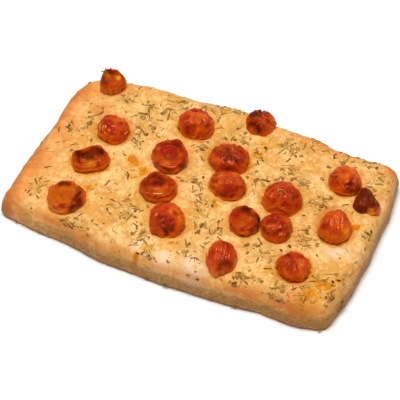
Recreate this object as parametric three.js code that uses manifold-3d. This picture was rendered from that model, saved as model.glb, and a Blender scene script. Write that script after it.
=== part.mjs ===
// A slab of focaccia: a soft rectangular bread with halved cherry tomatoes baked into its
// crust and dried herbs scattered over it.
// Millimetres, +Z up. The origin is the middle of the flat underside, +X runs along the long
// side to the right and +Y runs to the back.

import * as THREE from "three";
import { mergeVertices } from "three/addons/utils/BufferGeometryUtils.js";
import Module from "manifold-3d";

const wasm = await Module();
wasm.setup();

// The slab as a whole
const LENGTH = 249;
const DEPTH = 153;
const HEIGHT = 26; // tray to crust, between the tomatoes
const GAP = 0.3; // air left between touching pieces

// How far the middle of each side stands out past that side's corners
const BULGE = { front: 10.5, back: 9.5, left: 0, right: 6 };
// How far each corner is pulled in from the curve of its two sides, less than 0 where it juts out
const CORNER = { frontLeft: -2.5, frontRight: -1, backLeft: 12, backRight: -3.5 };
const CORNER_ROUNDING = 2; // taken off the tip of every corner
// Width of the rounded shoulder between the side and the top
const SHOULDER = { front: 11, back: 17, left: 13, right: 10 };
const SHOULDER_SQUARENESS = 2.5; // 2 is a quarter ellipse, more is squarer
const WIDEST_AT = 5.5; // height of the outermost line of the side
const FOOT_INSET = 1.5; // the side draws in by this much at the tray

// Unevenness of the four sides: at is the place along the side, out how far it stands out there
const SIDE_BUMPS = {
  front: [
    { at: -100, spread: 12, out: 0.6 },
    { at: -70, spread: 12, out: -0.6 },
    { at: -42, spread: 16, out: 1.6 },
    { at: -4, spread: 16, out: 0.9 },
    { at: 70, spread: 10, out: -0.8 },
    { at: 99, spread: 16, out: 2.8 },
  ],
  back: [
    { at: -82, spread: 20, out: -1.2 },
    { at: -38, spread: 13, out: -1.6 },
    { at: -10, spread: 13, out: 1.2 },
    { at: 26, spread: 13, out: -1.2 },
    { at: 76, spread: 16, out: -2 },
    { at: 106, spread: 11, out: 1.4 },
  ],
  left: [
    { at: -38, spread: 20, out: 1 },
    { at: 9, spread: 15, out: -1.6 },
    { at: 44, spread: 14, out: -1 },
  ],
  right: [
    { at: -36, spread: 12, out: 1.2 },
    { at: -4, spread: 16, out: 0.9 },
    { at: 42, spread: 18, out: 2 },
  ],
};

// Dents that the baker's fingers left between the tomatoes
const FINGER_DENTS = [
  { x: 38, y: 32, radius: 11, deep: 2.4 },
  { x: -25, y: -66, radius: 8, deep: 2.2 },
  { x: 19, y: -33, radius: 10, deep: 2.0 },
  { x: 108, y: -16, radius: 10, deep: 2.6 },
  { x: -52, y: -6, radius: 8, deep: 1.6 },
  { x: -48, y: -38, radius: 12, deep: 1.4 },
  { x: 66, y: 48, radius: 15, deep: 1.8 },
  { x: -105, y: 0, radius: 14, deep: 1.2 },
  { x: 62, y: -64, radius: 10, deep: 1.4 },
  { x: 4, y: 50, radius: 9, deep: 1.2 },
];
// Places where the dough rose higher than the rest
const PUFFS = [
  { x: -6, y: 66, radius: 22, high: 1.6 },
  { x: 104, y: 58, radius: 18, high: 0.9 },
  { x: 28, y: -70, radius: 12, high: 1.2 },
  { x: -60, y: 36, radius: 24, high: 0.6 },
];

// Halved cherry tomatoes, from the back left to the front right. A dome lies skin up, a cup
// cut side up. tall is from the crust up and sink the depth of the hollow in the crust. turn and
// lean are in degrees, lean tips the tomato towards its own +X. A cup's floor is the height of
// its flesh as a share of tall, and each peak of its rim has a direction on the plan and a height.
const TOMATOES = [
  { x: -96.5, y: 54, wide: 18, deep: 15, tall: 13, sink: 2, turn: 20, lean: 6 },
  { x: -77.5, y: 16.5, wide: 22.5, deep: 22, tall: 10.2, sink: 4, turn: 0, lean: 4 },
  { x: -79, y: -17, wide: 27.5, deep: 19, tall: 7.5, sink: 2, turn: 30, lean: 0 },
  { x: -80, y: -53, wide: 25, deep: 25.5, tall: 8, sink: 2, turn: 0, lean: 0 },
  { x: -25.5, y: 43.5, wide: 24.5, deep: 24, tall: 12.5, sink: 3, turn: 15, lean: 0 },
  { x: -29.5, y: 9, wide: 25, deep: 25, tall: 9, sink: 2.5, turn: 45, lean: -6 },
  { x: 8.5, y: 25, wide: 27.5, deep: 24, tall: 11, sink: 4, turn: 0, lean: 0 },
  { x: -25.5, y: -20, wide: 25, deep: 24, tall: 8, sink: 2, turn: 0, lean: 0 },
  { x: 17.5, y: 1.5, wide: 24.5, deep: 21, tall: 11.5, sink: 2.5, turn: 10, lean: 0 },
  { x: -8.5, y: -43, wide: 25, deep: 24, tall: 13, sink: 3, turn: 25, lean: 0 },
  { x: 16, y: 63.5, wide: 20.5, deep: 18, tall: 12, sink: 1.5, turn: 15, lean: 5 },
  { x: 56, y: 6.5, wide: 26, deep: 24.5, tall: 13, sink: 4, turn: 0, lean: 4 },
  { x: 40.5, y: -23.5, wide: 22, deep: 21, tall: 8.5, sink: 2.5, turn: 0, lean: -5 },
  { x: 62, y: -18, wide: 21.5, deep: 21, tall: 11, sink: 3, turn: 0, lean: 0 },
  { x: 38.5, y: -57.5, wide: 20.5, deep: 25, tall: 13.5, sink: 2, turn: 20, lean: 0 },
  { x: 85, y: -44, wide: 21, deep: 21.5, tall: 10, sink: 4.5, turn: 0, lean: 0 },
  { x: 90, y: 38.5, wide: 22.5, deep: 22, tall: 11, sink: 3, turn: 0, lean: -4 },
  { x: 109.5, y: 27.5, wide: 17, deep: 21, tall: 11, sink: 1.5, turn: 45, lean: 8 },
  { x: 98, y: -1.5, wide: 21, deep: 24, tall: 13, sink: 4, turn: 15, lean: 0 },
];
// The half that charred until it shrank to a ridge with three corners, by its place above
const CHARRED = { 17: { crest: 0.7, corners: { towards: 114, out: 0.16 } } };
// The halves that lie cut side up, by their place in the row above
const CUPS = {
  0: { floor: 0.62, peaks: [{ towards: 165, high: 3.5 }, { towards: 100, high: 2.5 }] },
  2: { floor: 0.35, peaks: [{ towards: 190, high: 3 }, { towards: 85, high: 3 }] },
  3: { floor: 0.62, peaks: [{ towards: 112, high: 1.5 }, { towards: -30, high: 1 }] },
  5: { floor: 0.6, peaks: [{ towards: 72, high: 4 }, { towards: 150, high: 1.5 }] },
  7: { floor: 0.5, peaks: [{ towards: 110, high: 1 }, { towards: 200, high: 0.8 }] },
  12: { floor: 0.66, peaks: [{ towards: 110, high: 2.5 }, { towards: 20, high: 1.5 }] },
};

// Drifts of dried rosemary and thyme: where the herbs fell thickest
const HERB_DRIFTS = [
  { x: -94, y: 16, count: 3 },
  { x: -43, y: 60, count: 4 },
  { x: -18, y: 64, count: 4 },
  { x: 8, y: 47, count: 4 },
  { x: -58, y: 27, count: 4 },
  { x: -46, y: 45, count: 3 },
  { x: -10, y: 27, count: 5 },
  { x: 37, y: 18, count: 4 },
  { x: 47, y: 52, count: 4 },
  { x: 62, y: 28, count: 4 },
  { x: -5, y: -2, count: 4 },
  { x: -103, y: -52, count: 3 },
  { x: -66, y: -72, count: 4 },
  { x: -40, y: -42, count: 6 },
  { x: -22, y: -62, count: 4 },
  { x: 18, y: -35, count: 4 },
  { x: 17, y: -62, count: 4 },
  { x: 60, y: -68, count: 7 },
  { x: 58, y: -38, count: 4 },
  { x: 79, y: -18, count: 4 },
  { x: 80, y: 12, count: 5 },
  { x: 108, y: -50, count: 4 },
  { x: 112, y: 48, count: 4 },
  { x: 85, y: 62, count: 4 },
];
const DRIFT_SPREAD = 7;
const LONE_HERBS = 26;
const HERB_SEED = 1877;
const HERB_SUNK = 0.35; // this share of a herb's thickness lies in the crust
const NEEDLE = { long: 6.5, wide: 1.2, thick: 1.1, facets: 5, bands: 4 };
const FLAKE = { long: 4, wide: 2.4, thick: 0.9, facets: 6, bands: 3 };

// Facets round a dome and a cup, and cells along and across the crust
const DOME_FACETS = 14;
const CUP_FACETS = 18;
const CRUST_CELLS = { along: 38, across: 22 };

const HALF_LENGTH = LENGTH / 2;
const HALF_DEPTH = DEPTH / 2;

const mix = (a, b, share) => a + (b - a) * share;
const smooth = (share) => share * share * (3 - 2 * share);
const clamp01 = (value) => Math.min(1, Math.max(0, value));

// Numbers from 0 to 1 by a linear congruential rule, the same on every run
function randomDraw(seed) {
  let state = seed;
  return () => {
    state = (state * 1664525 + 1013904223) % 4294967296;
    return state / 4294967296;
  };
}

// How far a side stands out at a place along it
function bumpAt(bumps, at) {
  const bell = (bump) => Math.exp(-(((at - bump.at) / bump.spread) ** 2));
  return bumps.reduce((sum, bump) => sum + bump.out * bell(bump), 0);
}

// The place on the plan for s and t from -1 to 1, where s = 1 is the right side and t = 1 the back
function planPoint(s, t) {
  const right = (1 + s) / 2;
  const back = (1 + t) / 2;
  const frontCorner = mix(CORNER.frontLeft, CORNER.frontRight, right);
  const backCorner = mix(CORNER.backLeft, CORNER.backRight, right);
  const corner = mix(frontCorner, backCorner, back);
  const pull = (bulge, share, tip) =>
    bulge * share ** 2 + corner * share ** 8 + CORNER_ROUNDING * share ** tip;
  const x = s * (HALF_LENGTH - pull(mix(BULGE.left, BULGE.right, right), t, 24));
  const y = t * (HALF_DEPTH - pull(mix(BULGE.front, BULGE.back, back), s, 40));
  const end = s < 0 ? SIDE_BUMPS.left : SIDE_BUMPS.right;
  const side = t < 0 ? SIDE_BUMPS.front : SIDE_BUMPS.back;
  return [x + s ** 5 * bumpAt(end, y), y + t ** 5 * bumpAt(side, x)];
}

// Share of the full height at a distance from the edge, from 0 at the outermost line to 1
function shoulderRise(distance, shoulder) {
  const inward = clamp01(distance / shoulder);
  return (1 - (1 - inward) ** SHOULDER_SQUARENESS) ** (1 / SHOULDER_SQUARENESS);
}

// 1 in the middle of a tomato's hollow and 0 outside it
function hollowShare(tomato, x, y) {
  const turn = THREE.MathUtils.degToRad(tomato.turn);
  const dx = x - tomato.x;
  const dy = y - tomato.y;
  const along = (dx * Math.cos(turn) + dy * Math.sin(turn)) / (tomato.wide / 2);
  const across = (dy * Math.cos(turn) - dx * Math.sin(turn)) / (tomato.deep / 2);
  const distance = Math.hypot(along, across);
  return smooth(clamp01((1.5 - distance) / 0.7));
}

// The long soft waves of a risen dough
function swell(x, y) {
  const rows = 0.7 * Math.sin(x / 17 + 0.8) * Math.sin(y / 14 + 2.1);
  const drift = 0.5 * Math.sin(x / 10 - y / 12 + 1.1);
  return rows + drift;
}

// Height of the risen dough over a place on the plan, without the hollows under the tomatoes
function doughTop(x, y) {
  const bell = (spot) => Math.exp(-((x - spot.x) ** 2 + (y - spot.y) ** 2) / spot.radius ** 2);
  const dents = FINGER_DENTS.reduce((sum, dent) => sum + dent.deep * bell(dent), 0);
  const puffs = PUFFS.reduce((sum, puff) => sum + puff.high * bell(puff), 0);
  return HEIGHT + swell(x, y) + puffs - dents;
}

// Height of the crust over a place on the plan, away from the edges
function crustTop(x, y) {
  const hollows = TOMATOES.map((tomato) => tomato.sink * hollowShare(tomato, x, y));
  return doughTop(x, y) - Math.max(...hollows);
}

// A point of the crust for s and t from -1 to 1, edges included
function crustPoint(s, t) {
  const [x, y] = planPoint(s, t);
  const sideShoulder = s < 0 ? SHOULDER.left : SHOULDER.right;
  const endShoulder = t < 0 ? SHOULDER.front : SHOULDER.back;
  const rise =
    shoulderRise((1 - Math.abs(s)) * HALF_LENGTH, sideShoulder) *
    shoulderRise((1 - Math.abs(t)) * HALF_DEPTH, endShoulder);
  return new THREE.Vector3(x, y, WIDEST_AT + (crustTop(x, y) - WIDEST_AT) * rise);
}

// Grid lines from -1 to 1, close together where the shoulder turns down
function gridLines(half, cells) {
  const nearEdge = [0, 0.6, 2, 4.5, 8];
  const inner = half - 12;
  const ends = nearEdge.map((distance) => 1 - distance / half);
  const middle = Array.from({ length: cells + 1 }, (_, i) => (inner / half) * (1 - (2 * i) / cells));
  return [...ends, ...middle, ...ends.map((value) => -value).reverse()].reverse();
}

// A geometry as a solid, with its doubled vertices merged and its collapsed triangles dropped
function solidOf(geometry) {
  const bare = geometry.clone();
  bare.deleteAttribute("normal");
  bare.deleteAttribute("uv");
  const merged = mergeVertices(bare, 1e-4);
  const corners = Array.from(merged.index.array);
  const kept = [];
  for (let i = 0; i < corners.length; i += 3) {
    const [a, b, c] = corners.slice(i, i + 3);
    if (a !== b && b !== c && c !== a) kept.push(a, b, c);
  }
  return new wasm.Manifold(
    new wasm.Mesh({
      numProp: 3,
      vertProperties: new Float32Array(merged.attributes.position.array),
      triVerts: new Uint32Array(kept),
    }),
  );
}

// The largest connected piece of a solid: a scrap that a cut leaves loose is dropped
function largestPiece(solid) {
  return solid.decompose().reduce((best, piece) => (piece.volume() > best.volume() ? piece : best));
}

function geometryOf(solid) {
  const mesh = solid.getMesh();
  const geometry = new THREE.BufferGeometry();
  geometry.setAttribute("position", new THREE.BufferAttribute(mesh.vertProperties, 3));
  geometry.setIndex(new THREE.BufferAttribute(mesh.triVerts, 1));
  return geometry.toNonIndexed();
}

// Moves every vertex of a geometry by a rule
function reshape(geometry, rule) {
  const position = geometry.getAttribute("position");
  const point = new THREE.Vector3();
  for (let i = 0; i < position.count; i++) {
    rule(point.fromBufferAttribute(position, i));
    position.setXYZ(i, point.x, point.y, point.z);
  }
  return geometry;
}

// The edge of the grid from corner to corner, anticlockwise
function gridEdge(columns, rows) {
  const right = columns.length - 1;
  const back = rows.length - 1;
  return [
    ...columns.slice(0, right).map((s) => [s, rows[0]]),
    ...rows.slice(0, back).map((t) => [columns[right], t]),
    ...columns.slice(1).reverse().map((s) => [s, rows[back]]),
    ...rows.slice(1).reverse().map((t) => [columns[0], t]),
  ];
}

// The bread without its herbs: a crust grid, side rings below it and a flat underside
function breadGeometry() {
  const columns = gridLines(HALF_LENGTH, CRUST_CELLS.along);
  const rows = gridLines(HALF_DEPTH, CRUST_CELLS.across);
  const triangles = [];
  const quad = (a, b, c, d) => triangles.push(a, b, c, a, c, d);

  const crust = columns.map((s) => rows.map((t) => crustPoint(s, t)));
  for (let i = 0; i + 1 < columns.length; i++)
    for (let j = 0; j + 1 < rows.length; j++)
      quad(crust[i][j], crust[i + 1][j], crust[i + 1][j + 1], crust[i][j + 1]);

  const edge = gridEdge(columns, rows);
  const ring = (inset, height) =>
    edge.map(([s, t]) => {
      const [x, y] = planPoint(s * (1 - inset / HALF_LENGTH), t * (1 - inset / HALF_DEPTH));
      return new THREE.Vector3(x, y, height);
    });
  const rings = [ring(0, WIDEST_AT), ring(0.3, WIDEST_AT / 2), ring(FOOT_INSET, 0)];
  for (let k = 0; k + 1 < rings.length; k++)
    for (let i = 0; i < edge.length; i++) {
      const next = (i + 1) % edge.length;
      quad(rings[k + 1][i], rings[k + 1][next], rings[k][next], rings[k][i]);
    }

  const foot = rings[rings.length - 1];
  for (const [a, b, c] of THREE.ShapeUtils.triangulateShape(foot, []))
    triangles.push(foot[a], foot[c], foot[b]);
  return new THREE.BufferGeometry().setFromPoints(triangles);
}

// The uneven outline of a shrunken half by direction, 1 on average
function outlineAt(around, phase) {
  return (
    1 +
    0.035 * Math.cos(2 * around + phase) +
    0.025 * Math.cos(3 * around + 2.1 * phase) +
    0.015 * Math.cos(5 * around + 3.3 * phase)
  );
}

// A tomato half lying skin up, its top sunk in on one side and leaning to another
function domeGeometry({ wide, deep, tall, turn, crest = 0, corners = { towards: 0, out: 0 } }, phase) {
  const dome = new THREE.SphereGeometry(1, DOME_FACETS, 7).rotateX(Math.PI / 2);
  return reshape(mergeVertices(stripped(dome), 1e-4), (p) => {
    const around = Math.atan2(p.y, p.x);
    const flank = Math.hypot(p.x, p.y);
    const away = around + THREE.MathUtils.degToRad(turn - corners.towards);
    const cornered = corners.out * Math.cos(3 * away);
    const outline = 1 + flank * (outlineAt(around, phase) + cornered - 1);
    const tent = mix(1, 1 - 0.75 * Math.abs(p.x), crest);
    const lift = p.z > 0 ? tall * tent * p.z ** 0.9 : 0.5 * tall * p.z;
    const fromDent = Math.hypot(p.x - 0.35 * Math.cos(phase), p.y - 0.35 * Math.sin(phase));
    const dent = 0.14 * Math.exp(-((fromDent / 0.4) ** 2));
    const tilt = 0.08 * (p.x * Math.cos(1.7 * phase) + p.y * Math.sin(1.7 * phase));
    p.x *= (wide / 2) * outline;
    p.y *= (deep / 2) * outline;
    p.z = lift * (1 - dent + tilt);
  });
}

// A tomato half lying cut side up: a skin bowl with a shrunken fleshy floor and a curled rim
function cupGeometry({ wide, deep, tall, turn, floor, peaks }, phase) {
  const profile = [
    [0, -0.5],
    [0.7, -0.35],
    [0.97, 0.05],
    [1, 0.35],
    [0.9, 0.78],
    [0.76, 0.76],
    [0.55, floor],
    [0.25, floor - 0.03],
    [0, floor + 0.05],
  ].map(([radius, height]) => new THREE.Vector2(radius, height));
  const cup = new THREE.LatheGeometry(profile, CUP_FACETS).rotateX(Math.PI / 2);
  return reshape(mergeVertices(stripped(cup), 1e-4), (p) => {
    const around = Math.atan2(p.y, p.x);
    const flank = Math.hypot(p.x, p.y);
    const onRim = clamp01((flank - 0.6) / 0.15) * clamp01((p.z - 0.35) / 0.4);
    const outline = 1 + flank * (outlineAt(around, phase) - 1);
    const peak = peaks.reduce((sum, { towards, high }) => {
      const away = around + THREE.MathUtils.degToRad(turn - towards);
      return sum + high * Math.max(0, Math.cos(away)) ** 6;
    }, 0);
    p.x *= (wide / 2) * outline;
    p.y *= (deep / 2) * outline;
    p.z = p.z * tall + onRim * (peak + 0.5 * Math.cos(3 * around + phase));
  });
}

function stripped(geometry) {
  geometry.deleteAttribute("normal");
  geometry.deleteAttribute("uv");
  return geometry;
}

// One tomato as a solid in its hollow, its underside following the crust below it
function tomatoSolid(tomato, index, bread) {
  const phase = index * 1.7; // a different unevenness for each
  const cup = CUPS[index];
  const geometry = cup
    ? cupGeometry({ ...tomato, ...cup }, phase)
    : domeGeometry({ ...tomato, ...CHARRED[index] }, phase);
  geometry.rotateY(THREE.MathUtils.degToRad(tomato.lean));
  geometry.rotateZ(THREE.MathUtils.degToRad(tomato.turn));
  geometry.translate(tomato.x, tomato.y, doughTop(tomato.x, tomato.y) - 1);
  return largestPiece(solidOf(geometry).subtract(bread.translate([0, 0, GAP])));
}

// One herb, about 30 triangles, bent and laid along the crust so that it follows every dip
function herbSolid({ s, t, angle, size, bend, kind }) {
  const form = kind === "needle" ? NEEDLE : FLAKE;
  const herb = new THREE.SphereGeometry(1, form.facets, form.bands).rotateZ(Math.PI / 2);
  return solidOf(
    reshape(herb, (p) => {
      const long = (p.x * form.long * size) / 2;
      const wide = (p.y * form.wide * size) / 2 + bend * p.x * p.x;
      const along = long * Math.cos(angle) - wide * Math.sin(angle);
      const across = long * Math.sin(angle) + wide * Math.cos(angle);
      const on = crustPoint(s + along / HALF_LENGTH, t + across / HALF_DEPTH);
      p.set(on.x, on.y, on.z + (0.5 - HERB_SUNK + p.z / 2) * form.thick);
    }),
  );
}

// Whether a herb of this length at a place would reach into a tomato
function touchesTomato(x, y, reach) {
  return TOMATOES.some((tomato) => {
    const radius = Math.max(tomato.wide, tomato.deep) / 2;
    return Math.hypot(x - tomato.x, y - tomato.y) < radius * 1.06 + reach + 0.8;
  });
}

// Every herb that is large enough to be a form of its own, by the drifts and an even scatter
function herbPlaces() {
  const draw = randomDraw(HERB_SEED);
  const places = [];
  const drop = (x, y) => {
    const kind = draw() < 0.62 ? "needle" : "flake";
    const size = mix(0.7, 1.25, draw());
    const angle = draw() * Math.PI;
    const bend = mix(-0.6, 0.6, draw());
    const reach = ((kind === "needle" ? NEEDLE.long : FLAKE.long) * size) / 2;
    const s = x / HALF_LENGTH;
    const t = y / HALF_DEPTH;
    const onCrust = Math.abs(s) < 0.93 && Math.abs(t) < 0.9;
    if (onCrust && !touchesTomato(x, y, reach)) places.push({ s, t, angle, size, bend, kind });
  };
  for (const drift of HERB_DRIFTS)
    for (let i = 0; i < drift.count; i++) {
      const dx = DRIFT_SPREAD * (draw() + draw() - 1);
      const dy = DRIFT_SPREAD * (draw() + draw() - 1);
      drop(drift.x + 1.6 * dx, drift.y + 1.2 * dy);
    }
  for (let i = 0; i < LONE_HERBS; i++)
    drop((2 * draw() - 1) * HALF_LENGTH * 0.92, (2 * draw() - 1) * HALF_DEPTH * 0.9);
  return places;
}

const crustFinish = new THREE.MeshStandardMaterial({ color: "#e3ab62", roughness: 0.7, metalness: 0 });
const skinFinish = new THREE.MeshStandardMaterial({ color: "#b93a10", roughness: 0.3, metalness: 0 });

const focaccia = new THREE.Group();
const bareBread = solidOf(breadGeometry());

const herbed = herbPlaces().reduce((whole, place) => whole.add(herbSolid(place)), bareBread);
const bread = new THREE.Mesh(geometryOf(largestPiece(herbed)), crustFinish);
bread.name = "bread";
focaccia.add(bread);

TOMATOES.forEach((tomato, index) => {
  const half = new THREE.Mesh(geometryOf(tomatoSolid(tomato, index, bareBread)), skinFinish);
  half.name = `tomato_${String(index + 1).padStart(2, "0")}`;
  focaccia.add(half);
});

export default focaccia;
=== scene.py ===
# %% [markdown]
# # Focaccia with roasted cherry tomatoes
# The object is a slab of focaccia: a soft yeast bread baked in a shallow pan with plenty of
# olive oil, halved cherry tomatoes pushed into the dough and dried rosemary and thyme over it.
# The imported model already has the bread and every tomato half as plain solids. This lesson
# dresses them: each is replaced by a fine mesh of the same form with a material of its own,
# and the herbs, too small for the solids, are laid on the crust one by one.

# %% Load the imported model
import math
import random

import bmesh
import bpy
import numpy as np
from mathutils import Matrix, Vector, noise
from mathutils.bvhtree import BVHTree


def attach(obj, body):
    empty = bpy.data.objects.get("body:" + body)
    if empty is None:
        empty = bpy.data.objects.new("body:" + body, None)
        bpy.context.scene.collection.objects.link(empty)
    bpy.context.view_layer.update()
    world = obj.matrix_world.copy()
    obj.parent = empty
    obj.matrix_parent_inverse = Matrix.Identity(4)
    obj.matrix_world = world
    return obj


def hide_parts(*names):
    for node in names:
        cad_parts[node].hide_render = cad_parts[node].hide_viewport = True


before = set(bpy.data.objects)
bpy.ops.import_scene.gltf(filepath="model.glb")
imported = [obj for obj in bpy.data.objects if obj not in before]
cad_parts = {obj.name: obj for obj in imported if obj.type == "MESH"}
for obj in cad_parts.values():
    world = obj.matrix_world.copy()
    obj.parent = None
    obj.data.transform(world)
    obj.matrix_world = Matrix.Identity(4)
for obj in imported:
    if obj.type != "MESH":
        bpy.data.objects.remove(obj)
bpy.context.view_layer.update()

scene = bpy.context.scene
MM = 0.001  # the sizes below are in millimetres, Blender's are in metres

# %% [markdown]
# ## The camera
# The slab was photographed from fairly far off with a long lens, so that its sides stay
# almost parallel. A camera is placed by the direction it looks along: the azimuth round the
# slab, the elevation above the table and the distance. The aim lies a few millimetres off the
# middle of the slab, because the picture was cropped that way.

# %% Camera
CAMERA_AZIMUTH = math.radians(24.05)
CAMERA_ELEVATION = math.radians(51.13)
CAMERA_DISTANCE = 1200 * MM
LENS = 153.4
AIM_LEFT = 2.6 * MM
AIM_UP = 2.9 * MM

back = Vector((
    math.sin(CAMERA_AZIMUTH) * math.cos(CAMERA_ELEVATION),
    -math.cos(CAMERA_AZIMUTH) * math.cos(CAMERA_ELEVATION),
    math.sin(CAMERA_ELEVATION),
))
right = Vector((math.cos(CAMERA_AZIMUTH), math.sin(CAMERA_AZIMUTH), 0))
up = back.cross(right)

camera = bpy.data.objects.new("camera", bpy.data.cameras.new("camera"))
scene.collection.objects.link(camera)
camera.data.lens = LENS
camera.data.sensor_width = 36
camera.data.clip_end = 20
camera.matrix_world = (
    Matrix.Translation(back * CAMERA_DISTANCE - right * AIM_LEFT + up * AIM_UP)
    @ Matrix((right, up, back)).transposed().to_4x4()
)
scene.camera = camera
scene.view_settings.view_transform = "Standard"
print("camera at", [round(value, 3) for value in camera.location])

# %% [markdown]
# ## Finishes: two helpers
# Colours are picked as sRGB hex values, as in any paint program, but Blender mixes light in
# linear values, so one function converts them. The second helper adds a shader node, applies
# its settings and fills its inputs, either with a value or with another node's output.

# %% Colour and node helpers
def linear(hex_colour):
    """The linear RGBA of an sRGB hex colour."""
    parts = [int(hex_colour[i:i + 2], 16) / 255 for i in (1, 3, 5)]
    return [p / 12.92 if p <= 0.04045 else ((p + 0.055) / 1.055) ** 2.4 for p in parts] + [1]


def add_node(tree, kind, inputs=None, **settings):
    """A node of this kind, its settings applied and its inputs set to values or linked."""
    node = tree.nodes.new(kind)
    for setting, value in settings.items():
        setattr(node, setting, value)
    for socket, value in (inputs or {}).items():
        if isinstance(value, bpy.types.NodeSocket):
            tree.links.new(value, node.inputs[socket])
        else:
            node.inputs[socket].default_value = value
    return node


def empty_material(name):
    """A node material with only its output left, and that output."""
    material = bpy.data.materials.new(name)
    material.use_nodes = True
    material.node_tree.nodes.clear()
    return material, add_node(material.node_tree, "ShaderNodeOutputMaterial")


# %% [markdown]
# ## Floor and light
# Food on a white sweep is lit by one large soft lamp overhead, and the white surroundings
# fill the shadows. With the lamp almost straight above, the top is bright, the sides are in
# shade and the wet tomato skins catch soft highlights near their tops.

# %% Floor and lamp
FLOOR_SIZE = 8
LAMP_SIZE = 0.7
LAMP_HEIGHT = 1.4
LAMP_POWER = 20.4
SKY_STRENGTH = 0.33

floor_material, floor_output = empty_material("white_sweep")
tree = floor_material.node_tree
paper = add_node(tree, "ShaderNodeBsdfPrincipled",
                 {"Base Color": linear("#F4F3F1"), "Roughness": 0.9})
tree.links.new(paper.outputs[0], floor_output.inputs[0])

sweep = bmesh.new()
bmesh.ops.create_grid(sweep, x_segments=1, y_segments=1, size=FLOOR_SIZE / 2)
floor_mesh = bpy.data.meshes.new("floor")
sweep.to_mesh(floor_mesh)
sweep.free()
floor_mesh.materials.append(floor_material)
floor = bpy.data.objects.new("floor", floor_mesh)
scene.collection.objects.link(floor)

lamp = bpy.data.objects.new("softbox", bpy.data.lights.new("softbox", "AREA"))
scene.collection.objects.link(lamp)
lamp.data.shape = "DISK"
lamp.data.size = LAMP_SIZE
lamp.data.energy = LAMP_POWER
lamp.data.color = (1, 0.985, 0.96)
lamp.location = (-0.02, -0.12, LAMP_HEIGHT)
lamp.rotation_euler = (-lamp.location).to_track_quat("-Z", "Y").to_euler()

world = bpy.data.worlds.new("white_room")
world.use_nodes = True
sky = world.node_tree.nodes["Background"]
sky.inputs["Color"].default_value = (1, 1, 1, 1)
sky.inputs["Strength"].default_value = SKY_STRENGTH
scene.world = world

# %% [markdown]
# ## The form of the slab
# The dough was stretched by hand, so its four sides bow out, its corners differ and its
# outline wavers. All of that is one rule: a square grid from -1 to 1 is mapped onto the
# outline, and a second rule gives the height of the crust over each place. The same rules
# made the solids, so the fine mesh fits them. They work on whole arrays of points at once.

# %% Slab measures
LENGTH = 249
DEPTH = 153
HEIGHT = 26
HALF_LENGTH = LENGTH / 2
HALF_DEPTH = DEPTH / 2
WIDEST_AT = 5.5
FOOT_INSET = 1.5
BULGE = {"front": 10.5, "back": 9.5, "left": 0, "right": 6}
CORNER = {"front_left": -2.5, "front_right": -1, "back_left": 12, "back_right": -3.5}
CORNER_ROUNDING = 2
SHOULDER = {"front": 11, "back": 17, "left": 13, "right": 10}
SHOULDER_SQUARENESS = 2.5

# Each bump: its place along the side, its spread and how far the side stands out there
FRONT_BUMPS = [
    (-100, 12, 0.6), (-70, 12, -0.6), (-42, 16, 1.6), (-4, 16, 0.9), (70, 10, -0.8), (99, 16, 2.8),
]
BACK_BUMPS = [
    (-82, 20, -1.2), (-38, 13, -1.6), (-10, 13, 1.2), (26, 13, -1.2), (76, 16, -2), (106, 11, 1.4),
]
LEFT_BUMPS = [(-38, 20, 1), (9, 15, -1.6), (44, 14, -1)]
RIGHT_BUMPS = [(-36, 12, 1.2), (-4, 16, 0.9), (42, 18, 2)]

# Each dent or puff of the crust: x, y, radius and depth or height
FINGER_DENTS = [
    (38, 32, 11, 2.4), (-25, -66, 8, 2.2), (19, -33, 10, 2.0), (108, -16, 10, 2.6),
    (-52, -6, 8, 1.6), (-48, -38, 12, 1.4), (66, 48, 15, 1.8), (-105, 0, 14, 1.2),
    (62, -64, 10, 1.4), (4, 50, 9, 1.2),
]
PUFFS = [(-6, 66, 22, 1.6), (104, 58, 18, 0.9), (28, -70, 12, 1.2), (-60, 36, 24, 0.6)]

# %% [markdown]
# ## The tomatoes' places
# Each half has a row of its own, because no two roasted alike. Most lie skin up, as domes, and
# those with a floor and peaks of the rim lie cut side up, as cups. The hue runs from red to
# orange and juice is how much it leaked. Its marks are read off the photo: dark, crimson or
# orange, how far right and up of its middle as seen from the camera, radius and strength.

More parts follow.
